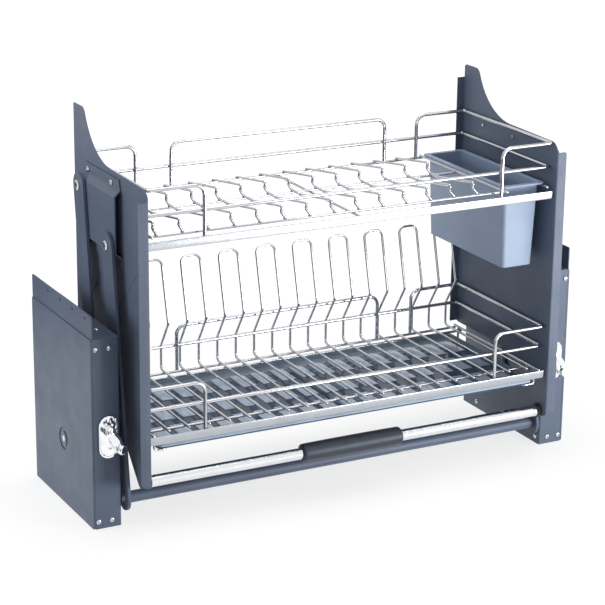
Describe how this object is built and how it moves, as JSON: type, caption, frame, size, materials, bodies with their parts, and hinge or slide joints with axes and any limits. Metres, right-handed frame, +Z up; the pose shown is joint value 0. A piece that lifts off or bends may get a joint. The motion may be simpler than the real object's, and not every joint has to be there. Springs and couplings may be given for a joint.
{
  "type": "swing-down cabinet rack",
  "caption": "Two-tier wire dish rack that swings forwards and down out of a wall cabinet on parallel arms carried by two sprung side boxes.",
  "frame": {"origin": "under the middle of the rack, on the plane that both side boxes stand on, half way between the rack's front edge and the boxes' rear faces", "axes": "+X to the right-hand cabinet wall, +Y into the cabinet, +Z up"},
  "size_m": [0.864, 0.302, 0.62],
  "materials": {
    "dark_enamel": "fine-grained satin powder coat",
    "chrome_trim": "polished chrome plate",
    "chrome_fasteners": "bright plated",
    "chrome_rods": "ground and plated rod",
    "bright_wire": "electropolished wire",
    "plain_steel": "zinc plated",
    "dark_plastic": "moulded, matt",
    "grey_blue_plastic": "moulded, satin",
    "clear_tray_plastic": "moulded, translucent",
    "foam_rubber": "closed-cell foam"
  },
  "bodies": {
    "cabinet_boxes": {"left_mounting_plate": "dark_enamel", "left_box_housing": "dark_enamel", "left_outer_cover": "dark_enamel", "left_adjuster_plate": "chrome_trim", "left_front_pivot_bush": "dark_plastic", "left_rear_pivot_bush": "dark_plastic", "left_gas_spring_cylinder": "plain_steel", "right_mounting_plate": "dark_enamel", "right_box_housing": "dark_enamel", "right_outer_cover": "dark_enamel", "right_adjuster_plate": "chrome_trim", "right_front_pivot_bush": "dark_plastic", "right_rear_pivot_bush": "dark_plastic", "right_gas_spring_cylinder": "plain_steel"},
    "front_arms": {"cross_tube": "dark_enamel", "left_front_arm": "dark_enamel", "left_front_pivot_shaft": "plain_steel", "left_spring_crank": "plain_steel", "right_front_arm": "dark_enamel", "right_front_pivot_shaft": "plain_steel", "right_spring_crank": "plain_steel"},
    "left_rear_arm_body": {"left_rear_arm": "dark_enamel", "left_rear_pivot_pin": "plain_steel"},
    "right_rear_arm_body": {"right_rear_arm": "dark_enamel", "right_rear_pivot_pin": "plain_steel"},
    "rack": {"upper_shelf_frame": "bright_wire", "upper_front_rail": "bright_wire", "lower_shelf_frame": "bright_wire", "lower_front_rail": "bright_wire", "handle_tube": "chrome_trim", "foam_grip": "foam_rubber", "left_side_panel": "dark_enamel", "left_arm_bracket": "dark_enamel", "left_front_arm_bolt": "chrome_fasteners", "left_rear_arm_bolt": "chrome_fasteners", "left_handle_socket": "dark_plastic", "left_bracket_screw_1": "chrome_fasteners", "left_bracket_screw_2": "chrome_fasteners", "left_bracket_screw_3": "chrome_fasteners", "left_bracket_screw_4": "chrome_fasteners", "right_side_panel": "dark_enamel", "right_arm_bracket": "dark_enamel", "right_front_arm_bolt": "chrome_fasteners", "right_rear_arm_bolt": "chrome_fasteners", "right_handle_socket": "dark_plastic", "right_bracket_screw_1": "chrome_fasteners", "right_bracket_screw_2": "chrome_fasteners", "right_bracket_screw_3": "chrome_fasteners", "right_bracket_screw_4": "chrome_fasteners"},
    "left_gas_rod": {"left_gas_spring_rod": "chrome_rods"},
    "right_gas_rod": {"right_gas_spring_rod": "chrome_rods"},
    "left_adjuster": {"left_adjuster_lever": "chrome_trim"},
    "right_adjuster": {"right_adjuster_lever": "chrome_trim"},
    "cutlery_box_body": {"cutlery_box": "grey_blue_plastic"},
    "drip_tray_body": {"drip_tray": "clear_tray_plastic"}
  },
  "joints": [
    {"name": "lift_swing", "type": "hinge", "parent": "cabinet_boxes", "child": "front_arms", "pos_m": [0, -0.085, 0.04], "axis": [1, 0, 0], "range_deg": [0, 100]},
    {"name": "rack_level", "type": "hinge", "parent": "front_arms", "child": "rack", "pos_m": [0, -0.03318, 0.4336], "axis": [1, 0, 0], "range_deg": [-100, 0]},
    {"name": "left_rear_arm_swing", "type": "hinge", "parent": "cabinet_boxes", "child": "left_rear_arm_body", "pos_m": [-0.378, 0.026, 0.109], "axis": [1, 0, 0], "range_deg": [0, 100]},
    {"name": "left_gas_spring_stroke", "type": "slide", "parent": "cabinet_boxes", "child": "left_gas_rod", "axis": [0, 0.6428, 0.766], "range_m": [0, 0.03984]},
    {"name": "left_adjuster_turn", "type": "hinge", "parent": "cabinet_boxes", "child": "left_adjuster", "pos_m": [-0.4055, -0.095, 0.16], "axis": [0, 1, 0], "range_deg": [0, 60]},
    {"name": "right_rear_arm_swing", "type": "hinge", "parent": "cabinet_boxes", "child": "right_rear_arm_body", "pos_m": [0.378, 0.026, 0.109], "axis": [1, 0, 0], "range_deg": [0, 100]},
    {"name": "right_gas_spring_stroke", "type": "slide", "parent": "cabinet_boxes", "child": "right_gas_rod", "axis": [0, 0.6428, 0.766], "range_m": [0, 0.03984]},
    {"name": "right_adjuster_turn", "type": "hinge", "parent": "cabinet_boxes", "child": "right_adjuster", "pos_m": [0.4055, -0.095, 0.16], "axis": [0, 1, 0], "range_deg": [0, 60]},
    {"name": "cutlery_box_lift", "type": "slide", "parent": "rack", "child": "cutlery_box_body", "axis": [0, 0, 1], "range_m": [0, 0.15]},
    {"name": "drip_tray_slide", "type": "slide", "parent": "rack", "child": "drip_tray_body", "axis": [0, -1, 0], "range_m": [0, 0.2]}
  ],
  "couplings": [
    {"joint": "rack_level", "follows": "lift_swing", "ratio": -1},
    {"joint": "left_rear_arm_swing", "follows": "lift_swing", "ratio": 1},
    {"joint": "left_gas_spring_stroke", "follows": "lift_swing", "m_per_rad": 0.022823},
    {"joint": "right_rear_arm_swing", "follows": "lift_swing", "ratio": 1},
    {"joint": "right_gas_spring_stroke", "follows": "lift_swing", "m_per_rad": 0.022823}
  ]
}
